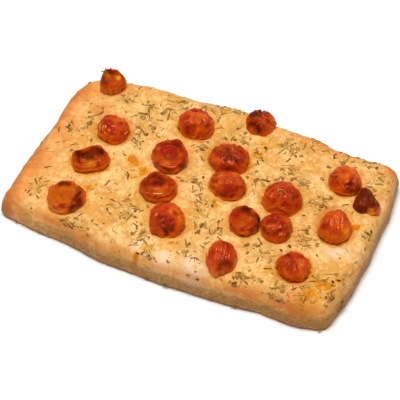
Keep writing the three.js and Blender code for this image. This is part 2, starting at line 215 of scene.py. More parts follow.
# %% Tomato table
TOMATOES = [
    dict(x=-96.5, y=54, wide=18, deep=15, tall=13, sink=2, turn=20, lean=6,
         floor=0.62, peaks=[(165, 3.5), (100, 2.5)], hue=0.4, juice=0.3,
         marks=[("dark", -9, 3, 3, 1), ("dark", -1, 8, 2.5, 0.9), ("dark", -4, 1, 3, 0.5),
                ("dark", 0.5, 4, 1.8, 0.4), ("dark", -8, -2, 2.5, 0.3),
                ("orange", -3.5, 5.5, 1.8, 2), ("orange", 4.5, 3.5, 2, 1.8),
                ("orange", 2, -6, 6, 0.5)]),
    dict(x=-77.5, y=16.5, wide=22.5, deep=22, tall=10.2, sink=4, turn=0, lean=4,
         folds="crumpled", hue=0.35, juice=0.45,
         marks=[("dark", -3, 2, 3, 0.3), ("crimson", -3, 2, 4, 0.8), ("orange", 4, 6, 5, 0.8),
                ("orange", -6, -3, 4, 0.6)]),
    dict(x=-79, y=-17, wide=27.5, deep=19, tall=7.5, sink=2, turn=30, lean=0,
         floor=0.35, peaks=[(190, 3), (85, 3)], hue=0.2, juice=0.7,
         marks=[("dark", 1, 3, 4.5, 1.1), ("dark", -5, 2.5, 3.5, 1), ("dark", 8, 5, 3, 1),
                ("dark", -10, 5, 3, 0.7), ("orange", 0, -2.5, 4, 1.3)]),
    dict(x=-80, y=-53, wide=25, deep=25.5, tall=8, sink=2, turn=0, lean=0,
         floor=0.62, peaks=[(112, 1.5), (-30, 1)], hue=1.1, juice=0.25,
         marks=[("dark", -4, 9, 3, 1.1), ("dark", 2, 9, 3, 1.1), ("dark", 8, -5, 3.5, 1.1),
                ("dark", 4.5, -9, 3, 1.1), ("dark", 9, 3, 3, 0.6)]),
    dict(x=-25.5, y=43.5, wide=24.5, deep=24, tall=12.5, sink=3, turn=15, lean=0,
         folds="crumpled", hue=0.6, juice=0.6,
         marks=[("orange", 1, 3, 5, 0.6), ("crimson", -6, -5, 4, 0.9), ("dark", 5, -1, 3, 0.3),
                ("crimson", 5, 8, 3, 0.5)]),
    dict(x=-29.5, y=9, wide=25, deep=25, tall=9, sink=2.5, turn=45, lean=-6,
         floor=0.7, peaks=[(72, 4), (150, 1.5)], hue=0.0, juice=0.3,
         marks=[("dark", 1, 7, 5, 0.3), ("dark", 7, 8, 3, 0.4), ("orange", -4, -5, 5, 0.4),
                ("crimson", 1, 4, 6, 1), ("crimson", -5, 2, 3.5, 0.8),
                ("orange", 4, -4, 3, 0.2), ("dark", 9, -7, 3.5, 0.5)]),
    dict(x=8.5, y=25, wide=27.5, deep=24, tall=11, sink=4, turn=0, lean=0,
         folds="radial", hue=0.3, juice=0.75,
         marks=[("dark", 1, 1, 8, 0.45), ("dark", -5, 4, 3, 0.3), ("dark", -3, -4, 3, 0.3),
                ("dark", 6, -4, 3.5, 0.3), ("orange", -9, -4, 3.5, 1), ("orange", 2, 11, 4, 0.8),
                ("crimson", -4, -8, 4, 0.6)]),
    dict(x=-25.5, y=-20, wide=25, deep=24, tall=8, sink=2, turn=0, lean=0,
         floor=0.5, peaks=[(110, 1), (200, 0.8)], hue=0.1, juice=0.5,
         marks=[("dark", -2, 3, 3, 0.6), ("dark", 3, 2.5, 3, 0.6), ("dark", -8, 1, 3, 0.5),
                ("crimson", 0, 3.5, 4.5, 0.9), ("orange", 1, -6, 4, 0.5),
                ("orange", 0, 9, 4, 0.5)]),
    dict(x=17.5, y=1.5, wide=24.5, deep=21, tall=11.5, sink=2.5, turn=10, lean=0,
         folds="crumpled", hue=0.5, juice=0.6,
         marks=[("dark", 2, -2, 4, 0.3), ("crimson", 1, -5, 5, 0.9), ("orange", -8, 1, 5, 0.6),
                ("orange", 5, 7, 4, 0.6)]),
    dict(x=-8.5, y=-43, wide=25, deep=24, tall=13, sink=3, turn=25, lean=0,
         folds="crumpled", hue=0.4, juice=0.4,
         marks=[("dark", -3, -5, 5, 0.4), ("dark", -9, -3, 3.5, 0.45), ("dark", 1, -1, 4.5, 0.45),
                ("dark", 1, -8, 4, 0.35), ("crimson", -1, -4, 7, 0.6), ("orange", 7, 5, 5, 0.7),
                ("orange", 9, -1, 3, 0.8)]),
    dict(x=16, y=63.5, wide=20.5, deep=18, tall=12, sink=1.5, turn=15, lean=5,
         folds="radial", hue=0.4, juice=0.2,
         marks=[("dark", -1, 8, 5, 0.9), ("dark", -6, 5, 4, 0.7), ("dark", 6, 8, 3, 0.9),
                ("dark", -1, -5, 5, 0.9), ("dark", -9, -3, 3, 0.6), ("orange", 8, 0, 4, 0.8)]),
    dict(x=56, y=6.5, wide=26, deep=24.5, tall=13, sink=4, turn=0, lean=4,
         folds="crumpled", hue=0.4, juice=0.5,
         marks=[("dark", -1, 3, 3, 0.6), ("dark", 8, 0, 4, 0.6), ("orange", -3, -4, 4, 0.3),
                ("crimson", 1, -1, 5, 0.5)]),
    dict(x=40.5, y=-23.5, wide=22, deep=21, tall=8.5, sink=2.5, turn=0, lean=-5,
         floor=0.72, peaks=[(110, 2.5), (20, 1.5)], hue=0.2, juice=0.4,
         marks=[("dark", 1, 8, 4.5, 0.9), ("dark", -2, 6, 3, 0.5), ("dark", 8, 1, 4, 0.7),
                ("dark", 8, -5, 3, 0.6), ("crimson", -6, 3, 4, 0.7), ("orange", 0, -3, 5, 0.15)]),
    dict(x=62, y=-18, wide=21.5, deep=21, tall=11, sink=3, turn=0, lean=0,
         folds="crumpled", hue=0.2, juice=0.5,
         marks=[("dark", 0, 3, 3, 0.3), ("dark", -6, -5, 4, 0.5), ("crimson", -2, 5, 4, 0.9),
                ("crimson", 4, -2, 4, 0.6), ("orange", 8, 2, 4, 0.5)]),
    dict(x=38.5, y=-57.5, wide=20.5, deep=25, tall=13.5, sink=2, turn=20, lean=0,
         folds="parallel", hue=0.5, juice=0.2,
         marks=[("crimson", 1, 1, 6, 0.4), ("dark", 2, -4, 3, 0.6), ("dark", -1.5, -8, 3.5, 0.5),
                ("dark", 5, -5, 2.5, 0.4)]),
    dict(x=85, y=-44, wide=21, deep=21.5, tall=10, sink=4.5, turn=0, lean=0,
         folds="radial", hue=0.4, juice=0.9,
         marks=[("dark", -4, 0, 3, 0.6), ("dark", -3, 5, 3, 0.5), ("crimson", 0, 0, 5, 0.5),
                ("orange", 6, -1, 5, 0.6)]),
    dict(x=90, y=38.5, wide=22.5, deep=22, tall=11, sink=3, turn=0, lean=-4,
         folds="crumpled", hue=0.5, juice=0.5,
         marks=[("orange", 2, 4, 7, 0.6), ("dark", -7, 0.5, 2.2, 0.5), ("dark", -1, -6, 4.5, 0.2),
                ("crimson", 2, -6, 4.5, 0.9),
                ("dark", 5, -5.5, 3.5, 0.5), ("dark", 9, -7, 3, 0.9)]),
    dict(x=109.5, y=27.5, wide=17, deep=21, tall=11, sink=1.5, turn=45, lean=8,
         crest=0.7, corners=(114, 0.16),
         folds="crumpled", hue=0.6, juice=0.3,
         marks=[("dark", 1, 3, 9, 2), ("dark", -6, -7, 4, 1.3), ("dark", -8, 2, 4, 0.8),
                ("orange", 3, -8, 3.5, 1.5)]),
    dict(x=98, y=-1.5, wide=21, deep=24, tall=13, sink=4, turn=15, lean=0,
         folds="parallel", hue=0.9, juice=0.7,
         marks=[("orange", 6, -4, 5, 0.6), ("dark", -1, 2.5, 2, 0.3),
                ("crimson", -8, -2, 3.5, 0.7)]),
]
print(sum("floor" in row for row in TOMATOES), "of", len(TOMATOES), "halves lie cut side up")


# %% Slab outline and crust height
def mix(a, b, share):
    """From a to b by a share from 0 to 1."""
    return a + (b - a) * share


def smooth(share):
    """A share from 0 to 1 that starts and ends gently."""
    return share * share * (3 - 2 * share)


def bump_at(bumps, at):
    """How far a side stands out at a place along it."""
    return sum(out * np.exp(-(((at - middle) / spread) ** 2)) for middle, spread, out in bumps)


def plan_point(s, t):
    """The place on the plan for s and t from -1 to 1: s = 1 is the right side, t = 1 the back."""
    rightward, backward = (1 + s) / 2, (1 + t) / 2
    front_corner = mix(CORNER["front_left"], CORNER["front_right"], rightward)
    back_corner = mix(CORNER["back_left"], CORNER["back_right"], rightward)
    corner = mix(front_corner, back_corner, backward)

    def pull(bulge, share, tip):
        return bulge * share ** 2 + corner * share ** 8 + CORNER_ROUNDING * share ** tip

    x = s * (HALF_LENGTH - pull(mix(BULGE["left"], BULGE["right"], rightward), t, 24))
    y = t * (HALF_DEPTH - pull(mix(BULGE["front"], BULGE["back"], backward), s, 40))
    end = np.where(s < 0, bump_at(LEFT_BUMPS, y), bump_at(RIGHT_BUMPS, y))
    side = np.where(t < 0, bump_at(FRONT_BUMPS, x), bump_at(BACK_BUMPS, x))
    return x + s ** 5 * end, y + t ** 5 * side


def shoulder_rise(distance, shoulder):
    """Share of the full height at a distance from the edge: 0 at the edge, 1 past the shoulder."""
    inward = np.clip(distance / shoulder, 0, 1)
    return (1 - (1 - inward) ** SHOULDER_SQUARENESS) ** (1 / SHOULDER_SQUARENESS)


def tomato_distance(row, x, y):
    """Distance from a tomato's middle, with its own rim at 1."""
    turn = math.radians(row["turn"])
    dx, dy = x - row["x"], y - row["y"]
    along = (dx * math.cos(turn) + dy * math.sin(turn)) / (row["wide"] / 2)
    across = (dy * math.cos(turn) - dx * math.sin(turn)) / (row["deep"] / 2)
    return np.hypot(along, across)


def bell(spot_x, spot_y, radius, x, y):
    """1 in the middle of a round spot, fading over its radius."""
    return np.exp(-((x - spot_x) ** 2 + (y - spot_y) ** 2) / radius ** 2)


def dough_top(x, y):
    """Height of the risen dough, without the hollows under the tomatoes."""
    swell = 0.7 * np.sin(x / 17 + 0.8) * np.sin(y / 14 + 2.1) + 0.5 * np.sin(x / 10 - y / 12 + 1.1)
    dents = sum(deep * bell(px, py, radius, x, y) for px, py, radius, deep in FINGER_DENTS)
    puffs = sum(high * bell(px, py, radius, x, y) for px, py, radius, high in PUFFS)
    return HEIGHT + swell + puffs - dents


def crust_top(x, y):
    """Height of the crust over a place on the plan, away from the edges."""
    hollows = [
        row["sink"] * smooth(np.clip((1.5 - tomato_distance(row, x, y)) / 0.7, 0, 1))
        for row in TOMATOES
    ]
    return dough_top(x, y) - np.maximum.reduce(hollows)


# %% [markdown]
# ## The crust as a mesh
# A height field is the natural mesh for a loaf's top. A grid is created once, its lines are
# crowded together where the shoulder turns down so that the faces stay even there, and its
# edge loop is extruded down the side to the foot, which one flat face closes. Only then
# is every vertex moved onto the slab by the rules above. The oven's own relief comes on top:
# soft lumps a finger wide, blisters and a fine grain.

# %% Grid lines
SHOULDER_LINES = 26
CELL = 1.0  # millimetres between lines on the flat of the crust
SIDE_RINGS = 7


def crowded_lines(half):
    """Line places from -1 to 1, crowded over the shoulders and even between them."""
    zone = 13
    angles = np.linspace(0, math.pi / 2, SHOULDER_LINES + 1)
    inward = zone * (1 - np.cos(angles) ** (2 / SHOULDER_SQUARENESS))
    edge = 1 - inward / half
    cells = round(2 * (half - zone) / CELL)
    middle = np.linspace(-edge[-1], edge[-1], cells + 1)
    return np.concatenate([-edge[:-1], middle, edge[:-1][::-1]])


columns = crowded_lines(HALF_LENGTH)
rows = crowded_lines(HALF_DEPTH)
print("the crust grid has", len(columns), "by", len(rows), "lines")

# %% Raw slab from a grid and its extruded rim
slab = bmesh.new()
bmesh.ops.create_grid(slab, x_segments=len(columns) - 1, y_segments=len(rows) - 1, size=1)
rim = [edge for edge in slab.edges if edge.is_boundary]
for ring in range(1, SIDE_RINGS + 1):
    made = bmesh.ops.extrude_edge_only(slab, edges=rim)["geom"]
    for vertex in (item for item in made if isinstance(item, bmesh.types.BMVert)):
        vertex.co.z = -ring / SIDE_RINGS
    rim = [item for item in made if isinstance(item, bmesh.types.BMEdge) and item.is_boundary]
bmesh.ops.edgeloop_fill(slab, edges=rim)
bmesh.ops.recalc_face_normals(slab, faces=slab.faces)
slab.verts.ensure_lookup_table()
raw = np.array([vertex.co for vertex in slab.verts])
s = np.interp(raw[:, 0], np.linspace(-1, 1, len(columns)), columns)
t = np.interp(raw[:, 1], np.linspace(-1, 1, len(rows)), rows)
drop = -raw[:, 2]  # 0 on the crust and at its rim, 1 at the foot

# %% Relief of the baked crust
LUMP_SIZE, LUMP_HEIGHT = 13, 1.15
PUCKER_SIZE, PUCKER_HEIGHT = 5, 0.75
GRAIN_SIZE, GRAIN_HEIGHT = 1.9, 0.18
BLISTERS = 34
blister_draw = random.Random(5)
blisters = [
    (blister_draw.uniform(-112, 112), blister_draw.uniform(-64, 64),
     blister_draw.uniform(2.2, 4.2), blister_draw.uniform(0.25, 0.7))
    for _ in range(BLISTERS)
]


def noise_over(x, y, z, size):
    """Blender's smooth noise, one value for each point, with lumps of this size."""
    return np.array([noise.noise(place) for place in np.stack([x, y, z], axis=-1) / size])


def crust_relief(x, y, z):
    """Height that the oven's own unevenness adds to the crust."""
    lumps = LUMP_HEIGHT * noise_over(x, y, z, LUMP_SIZE)
    puckers = PUCKER_HEIGHT * noise_over(x, y, z + 40, PUCKER_SIZE)
    grain = GRAIN_HEIGHT * noise_over(x, y, z + 80, GRAIN_SIZE)
    raised = sum(high * bell(px, py, radius, x, y) for px, py, radius, high in blisters)
    return lumps + puckers + grain + raised


def pit_lips(x, y):
    """The dough swells into a soft lip round a deep hollow."""
    return sum(
        0.22 * row["sink"] * np.exp(-(((tomato_distance(row, x, y) - 1.62) / 0.17) ** 2))
        for row in TOMATOES if row["sink"] > 3.5
    )


# %% Vertices of the slab
SIDE_RELIEF = 0.45
inset = FOOT_INSET * drop ** 2
plan_x, plan_y = plan_point(s * (1 - inset / HALF_LENGTH), t * (1 - inset / HALF_DEPTH))
across = (1 - np.abs(s)) * HALF_LENGTH
along = (1 - np.abs(t)) * HALF_DEPTH
rise = (
    shoulder_rise(across, np.where(s < 0, SHOULDER["left"], SHOULDER["right"]))
    * shoulder_rise(along, np.where(t < 0, SHOULDER["front"], SHOULDER["back"]))
)
flat_top = crust_top(plan_x, plan_y) + pit_lips(plan_x, plan_y)
height = np.where(drop > 0, WIDEST_AT * (1 - drop), WIDEST_AT + (flat_top - WIDEST_AT) * rise)
relief = crust_relief(plan_x, plan_y, height)
height = height + np.where(drop > 0, 0, relief * smooth(rise))

# The sides get their relief sideways, fading out towards the flat top and the foot
outward = SIDE_RELIEF * (noise_over(plan_x, plan_y, height + 20, 7)
                         + 0.5 * noise_over(plan_x, plan_y, height + 60, 2.4) - 0.4)
steep = (1 - smooth(np.clip((rise - 0.55) / 0.4, 0, 1))) * (1 - drop ** 4)
reach = np.hypot(plan_x / HALF_LENGTH, plan_y / HALF_DEPTH) + 1e-6
plan_x = plan_x + outward * steep * np.where(across < along, np.sign(s), 0.3 * s)
plan_y = plan_y + outward * steep * np.where(along <= across, np.sign(t), 0.3 * t)
for vertex, place in zip(slab.verts, np.stack([plan_x, plan_y, height], axis=-1) * MM):
    vertex.co = place
bread_tree = BVHTree.FromBMesh(slab)
print("the crust rises to", round(height.max(), 1), "mm")

# %% [markdown]
# ## Where the crust turned brown, soaked up juice and where shade is painted
# A baked crust is not one colour. It is pale cream where the oil kept it moist, golden on the
# flat, orange-brown along the edges that met the pan and the hot air, and stained yellow to
# orange where tomato juice ran out. It is khaki where crumbled herbs lie thick. Painted shade
# goes in the same way: the lower sides are darker, partly from their browner crust and partly
# as painted shade, and so are a ring round each hollow, stronger the deeper it sinks, and the
# far walls of a few hollows. These marks follow the shape and the toppings, so they are worked
# out for every vertex and stored on the mesh as attributes for the material.

# %% Stains, brown places and painted shade spots
# Each stain of tomato juice and oil: x, y, radius and strength
JUICE_STAINS = [
    (-53, -2, 4.5, 1.3), (-49, -3.5, 2.5, 0.8), (-42, -8, 5, 1.1), (-46, -16, 4, 0.7),
    (-70.5, -38, 4, 0.9), (-66, -34, 3, 0.6), (26, 46, 5, 0.8), (25, 37, 5, 0.8),
    (34, 50, 3, 0.7), (105, -49, 4.5, 1.2), (111, -49, 4, 1.1), (116, -40, 4, 0.7),
    (110.5, 4, 4, 1.1), (70, -51.5, 4, 0.9), (15, -15, 6, 0.7), (-12, -69, 4, 0.8),
    (2, -58, 2, 1.2), (-58, 28, 4, 0.5), (104, 14, 5, 0.5), (48, -40, 6, 0.4),
    (-17, -75, 2.2, 1.3), (29, 15, 6, 0.4), (-9, -67, 3, 0.9), (103, -61, 9, 0.8),
    (10, -20, 6, 0.35), (-60, 44, 6, 0.25),
]
# Each patch where the crust is paler: x, y, radius and strength
PALE_PATCHES = [(24, -71, 9, 0.75), (-15, -69, 6, 1.3), (2, -73, 7, 0.7), (106, -19, 7, 0.7)]

# Each place that the oven turned browner than the rest of its edge. The last five are
# painted shade on the far walls of the hollows of tomatoes 2, 12, 16 and 19
BROWN_AND_SHADE_SPOTS = [
    (-124, -64, 15, 0.45), (117, 70, 12, 0.7), (-120, 10, 12, 0.3), (-118, 40, 12, 0.4),
    (-80, -74, 12, 0.3), (-50, -76, 12, 0.2), (60, -74, 14, 0.3), (95, -72, 10, 0.4),
    (60, 78, 16, 0.5), (-118, -30, 12, 0.4), (101, -63, 10, 0.75), (-94, 28, 7, 0.4),
    (-91, 34, 6, 0.3), (46, 21, 6, 0.3), (68, -44, 6, 0.3), (89, 9, 6, 0.3),
]

# %% Where the herbs lie thick
# Each drift of herbs: x, y and how many of its larger herbs the solids try to place
DRIFTS = [
    (-94, 16, 3), (-43, 60, 4), (-18, 64, 4), (8, 47, 4), (-58, 27, 4), (-46, 45, 3),
    (-10, 27, 5), (37, 18, 4), (47, 52, 4), (62, 28, 4), (-5, -2, 4), (-103, -52, 3),
    (-66, -72, 4), (-40, -42, 6), (-22, -62, 4), (18, -35, 4), (17, -62, 4), (60, -68, 7),
    (58, -38, 4), (79, -18, 4), (80, 12, 5), (108, -50, 4), (112, 48, 4), (85, 62, 4),
]
# Each tight clump of crumbled herbs: x, y and how many bits
CLUMPS = [
    (57, -68, 18), (82, -71, 9), (-71, -73, 11), (-2, 69, 8), (20, -35, 9), (-62, 37, 7),
    (-105, 8.5, 6), (-57, 13, 7), (-81, 48, 7), (42, 54, 8), (52, 33.5, 9), (100, 64, 10),
    (60, 71, 9), (-22, -58, 9), (-36, -50, 8), (28, 36, 7), (84, -20, 7), (10, -20, 3),
    (7, -16, 4), (12, -25, 4), (-62, 44, 7), (116, -56, 9), (100, -66, 10), (81, -69, 9),
    (88, -66, 7), (122, 3, 8), (-71, -77, 8), (-9, -73, 7), (32, -61, 7), (118, -40, 6),
    (49, 22, 3), (66, -44, 3), (90, 12, 2), (125, 4, 5), (-27, 62, 3), (-95, 28, 3),
]
DRIFT_STAIN = 10  # millimetres that the khaki stain of a drift reaches
CLUMP_STAIN = 6


# %% The marks of every vertex
def near_edge(distance, width):
    """1 at the edge of the slab, fading over this width."""
    return np.exp(-np.clip(distance, 0, None) / width)


def ring_round(row, at, width):
    """A ring round a tomato, its radius as a share of the tomato's own."""
    return np.exp(-(((tomato_distance(row, plan_x, plan_y) - at) / width) ** 2))


def patches_on_crust(spots):
    """The patch that each spot makes. A spot is x, y, radius and strength."""
    return [strength * bell(px, py, radius, plan_x, plan_y) for px, py, radius, strength in spots]


# Browning along the edges and in spots; a few spots are painted shade on hollows' far walls
# The left end, the right end, the back and the upper edge of the front
browning_and_pit_shade = np.maximum.reduce([
    np.where(s < 0, 1.0, 0) * near_edge(across, 15),
    np.where(s > 0, 0.35, 0) * near_edge(across, 8),
    np.where(t > 0, 0.6, 0) * near_edge(along, 9),
    np.where(t < 0, 0.6, 0) * np.exp(-(((height - 19) / 4.5) ** 2)) * near_edge(along, 12),
]) + sum(patches_on_crust(BROWN_AND_SHADE_SPOTS))
# Juice halos and stains, and a painted shade ring round each hollow, deeper ones darker
juice_and_hollow_shade = np.maximum.reduce(
    [row["juice"] * ring_round(row, 1.05, 0.28) for row in TOMATOES]
    + [0.13 * row["sink"] * ring_round(row, 1.12, 0.3) for row in TOMATOES]
    + patches_on_crust(JUICE_STAINS)
)
pale = np.maximum.reduce(patches_on_crust(PALE_PATCHES))
herby = np.maximum.reduce(
    [0.7 * bell(px, py, DRIFT_STAIN, plan_x, plan_y) for px, py, _ in DRIFTS]
    + [bell(px, py, CLUMP_STAIN, plan_x, plan_y) for px, py, _ in CLUMPS]
)
# Darker towards the foot of the sides: partly their browner crust, partly painted shade. The lit
# left front corner gets less of it.
side_tone_and_shade = 1 - smooth(np.clip((height - 9) / 10, 0, 1))
side_tone_and_shade = side_tone_and_shade * (1 - 0.7 * bell(-110, -62, 28, plan_x, plan_y))
foot = smooth(np.clip((drop - 0.35) / 0.5, 0, 1))
crust_marks = {
    "browning_and_pit_shade": browning_and_pit_shade, "juice_and_hollow_shade": juice_and_hollow_shade, "pale": pale, "herby": herby,
    "side_tone_and_shade": side_tone_and_shade, "foot": foot,
}
print({name: round(float(mark.mean()), 3) for name, mark in crust_marks.items()})


# %% [markdown]
# ## The crust's material
# Bread is matte and lets a little light in, so it has some subsurface scattering. Olive oil
# leaves a thin sheen, which is a faint coat over the top. The colours are layered: cream and
# gold in soft blotches first, the khaki that herb crumbs leave where they lie thick, then pale
# patches, browning with painted shade on the far walls of a few hollows, juice with a painted
# shade ring round the hollows, and last the lower sides, darkened partly for their browner
# crust and partly as painted shade, and their scorched foot.

# %% Baked crust material
def blotches(tree, place, size, detail=3):
    """A noise pattern on the piece, its lumps of this size in millimetres."""
    return add_node(tree, "ShaderNodeTexNoise",
                    {"Vector": place, "Scale": 1 / (size * MM), "Detail": detail}).outputs["Fac"]


def spread(tree, value, low, high, weakest=0, strongest=1):
    """A value stretched so that low becomes weakest and high strongest, and cut off outside."""
    return add_node(tree, "ShaderNodeMapRange", {
        "Value": value, "From Min": low, "From Max": high, "To Min": weakest, "To Max": strongest,
    }).outputs["Result"]


def tint(tree, share, under, over):
    """A colour over another, by a share from 0 to 1."""
    return add_node(tree, "ShaderNodeMix", {0: share, 6: under, 7: over},
                    data_type="RGBA").outputs[2]


def times(tree, a, b):
    """Two values multiplied."""
    return add_node(tree, "ShaderNodeMath", {0: a, 1: b}, operation="MULTIPLY").outputs[0]


def mark(tree, name):
    """A mark that was stored on the mesh."""
    return add_node(tree, "ShaderNodeAttribute", attribute_name=name).outputs["Fac"]


crust, crust_output = empty_material("baked_focaccia_crust")
tree = crust.node_tree
place = add_node(tree, "ShaderNodeTexCoord").outputs["Object"]
broad = blotches(tree, place, 17)
middling = blotches(tree, place, 6)
fine = blotches(tree, place, 2.2, 4)

gold = spread(tree, broad, 0.38, 0.62)
colour = tint(tree, gold, linear("#ECC27C"), linear("#D99E4C"))
mottled = spread(tree, middling, 0.44, 0.66, 0, 0.7)
colour = tint(tree, mottled, colour, linear("#CE8E46"))
colour = tint(tree, spread(tree, fine, 0.5, 0.7, 0, 0.55), colour, linear("#C0803F"))
flecks = spread(tree, blotches(tree, place, 2.8), 0.52, 0.7, 0, 0.6)
colour = tint(tree, flecks, colour, linear("#F6CF94"))
stained = times(tree, mark(tree, "herby"), spread(tree, fine, 0.38, 0.6, 0.15, 0.75))
colour = tint(tree, stained, colour, linear("#BC8E4A"))
pale_patch = times(tree, mark(tree, "pale"), spread(tree, middling, 0.35, 0.55))
colour = tint(tree, pale_patch, colour, linear("#F1DAC0"))
# Browning, and painted shade on the far walls of a few hollows
uneven_brown_and_shade = times(tree, mark(tree, "browning_and_pit_shade"), spread(tree, middling, 0.3, 0.6, 0.65, 1.15))
colour = tint(tree, spread(tree, uneven_brown_and_shade, 0.1, 0.75), colour, linear("#D98844"))
colour = tint(tree, spread(tree, uneven_brown_and_shade, 0.6, 1.1, 0, 0.7), colour, linear("#B9642E"))
# Juice stains, and in the same tints the painted shade ring round the hollows
runny = spread(tree, fine, 0.38, 0.62, 0.6, 1.2)
uneven_juice_and_shade = times(tree, times(tree, mark(tree, "juice_and_hollow_shade"), runny),
                     spread(tree, middling, 0.35, 0.6, 0.8, 1.2))
colour = tint(tree, spread(tree, uneven_juice_and_shade, 0.12, 0.6, 0, 0.8), colour, linear("#D2922A"))
colour = tint(tree, spread(tree, uneven_juice_and_shade, 0.5, 0.9, 0, 0.95), colour, linear("#CC7000"))
# Painted shade, with the sides' own browner crust: the lower sides darkened and mottled
shade = times(tree, mark(tree, "side_tone_and_shade"), spread(tree, middling, 0.3, 0.6, 0.75, 1))
colour = tint(tree, spread(tree, shade, 0.05, 0.95, 0, 0.88), colour, linear("#AA7642"))
side_mottles_and_shade = times(tree, mark(tree, "side_tone_and_shade"), spread(tree, fine, 0.42, 0.62, 0, 0.7))
colour = tint(tree, side_mottles_and_shade, colour, linear("#8A6842"))
scorched = times(tree, mark(tree, "foot"), spread(tree, broad, 0.35, 0.6, 0.4, 1))
colour = tint(tree, spread(tree, scorched, 0, 1, 0, 0.8), colour, linear("#8A5426"))

pores = blotches(tree, place, 0.9, 4)
relief_bump = add_node(tree, "ShaderNodeBump",
                       {"Height": pores, "Strength": 0.45, "Distance": 0.35 * MM})
gloss = spread(tree, broad, 0.35, 0.65, 0.42, 0.6)
crumb = add_node(tree, "ShaderNodeBsdfPrincipled", {
    "Base Color": colour,
    "Roughness": gloss,
    "IOR": 1.45,
    "Subsurface Weight": 0.12,
    "Subsurface Radius": (1.0, 0.55, 0.25),
    "Subsurface Scale": 1.5 * MM,
    "Specular IOR Level": 0.02,
    "Coat Weight": 0.04,
    "Coat Roughness": 0.3,
    "Normal": relief_bump.outputs["Normal"],
})
tree.links.new(crumb.outputs[0], crust_output.inputs[0])


# %% Finished pieces
def finish_piece(name, shape, material, marks=None):
    """A bmesh as a shaded object that rides with the slab, its marks stored as attributes."""
    mesh = bpy.data.meshes.new(name)
    shape.to_mesh(mesh)
    shape.free()
    mesh.materials.append(material)
    mesh.shade_smooth()
    for mark_name, values in (marks or {}).items():
        attribute = mesh.attributes.new(mark_name, "FLOAT", "POINT")
        attribute.data.foreach_set("value", np.asarray(values, dtype=np.float32))
    piece = bpy.data.objects.new(name, mesh)
    scene.collection.objects.link(piece)
    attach(piece, "root")
    return piece


crust_piece = finish_piece("crust", slab, crust, crust_marks)
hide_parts("bread")
print("the crust has", len(crust_piece.data.polygons), "faces")

# %% [markdown]
# ## Roasted tomatoes
# Each half starts as a ball of fine triangles. A dome is the ball squashed and creased: as the
# flesh shrinks, the skin is left too large and gathers in sharp little ridges, radial on some,
# side by side on others and crumpled on most. A cup sends each point of the ball, from top to
# bottom, along the profile of a bowl whose rim has curled inwards. Last, what lies below the
# crust is lifted onto it, so each half sits in its own hollow.

# %% Tomato forms
CLEARANCE = 0.25  # air between a tomato and the crust under it
CUP_SKIN = [(0.92, 0.76), (1, 0.35), (0.97, 0.05), (0.7, -0.35), (0, -0.5)]
RIM_POINT = 4  # the point of the whole profile that is the top of the rim


def ridges(points, size):
    """Sharp creases with soft hollows between them, mostly from -1 to 1."""
    return np.array([1 - 3 * abs(noise.noise(point)) for point in points / size])


def lumps(points, size):
    """Soft lumps of this size, mostly from -1 to 1."""
    return np.array([noise.noise(point) for point in points / size])


def outline_at(around, phase):
    """The uneven outline of a shrunken half by direction, 1 on average."""
    return (1 + 0.035 * np.cos(2 * around + phase) + 0.03 * np.cos(3 * around + 2.1 * phase)
            + 0.022 * np.cos(5 * around + 3.3 * phase) + 0.012 * np.cos(9 * around + 4.7 * phase))


def skin_folds(ball, style, seed):
    """How far the skin stands out, as a share of the radius."""
    shifted = ball + seed * 7.3
    around = np.arctan2(ball[:, 1], ball[:, 0])
    broad = 0.07 * lumps(shifted, 0.6)
    fine = 0.014 * ridges(shifted, 0.26) + 0.009 * ridges(shifted, 0.15)
    if style == "radial":
        rays = np.stack([np.cos(around), np.sin(around), 0.5 * ball[:, 2] + seed], axis=-1)
        flank = np.clip(np.hypot(ball[:, 0], ball[:, 1]) * 2, 0, 1)
        return broad + fine + 0.058 * ridges(rays, 0.3) * flank
    if style == "parallel":
        stripes = np.stack([ball[:, 0] * 2.2, ball[:, 1] * 0.5, ball[:, 2] * 0.5], axis=-1)
        return broad + fine + 0.032 * ridges(stripes + seed * 3.1, 0.42)
    return broad + fine + 0.062 * ridges(shifted, 0.42)


def dome_points(ball, row, seed):
    """A half lying skin up, and how far its skin stands out or in there."""
    flank = np.hypot(ball[:, 0], ball[:, 1])
    phase = seed * 1.7
    around = np.arctan2(ball[:, 1], ball[:, 0])
    towards, out = row.get("corners", (0, 0))
    cornered = out * np.cos(3 * (around + math.radians(row["turn"] - towards)))
    outline = 1 + flank * (outline_at(around, phase) + cornered - 1)
    tent = mix(1, 1 - 0.75 * np.abs(ball[:, 0]), row.get("crest", 0))
    over = row["tall"] * tent * np.clip(ball[:, 2], 0, None) ** 0.9
    under = 0.5 * row["tall"] * np.clip(ball[:, 2], None, 0)
    dent = 0.14 * bell(0.35 * math.cos(phase), 0.35 * math.sin(phase), 0.4, ball[:, 0], ball[:, 1])
    tilt = 0.08 * (ball[:, 0] * math.cos(1.7 * phase) + ball[:, 1] * math.sin(1.7 * phase))
    folds = skin_folds(ball, row["folds"], seed)
    skin = 1 + folds
    points = np.stack([
        ball[:, 0] * row["wide"] / 2 * outline * skin,
        ball[:, 1] * row["deep"] / 2 * outline * skin,
        (over + under) * (1 - dent + tilt) * skin,
    ], axis=-1)
    return points, folds


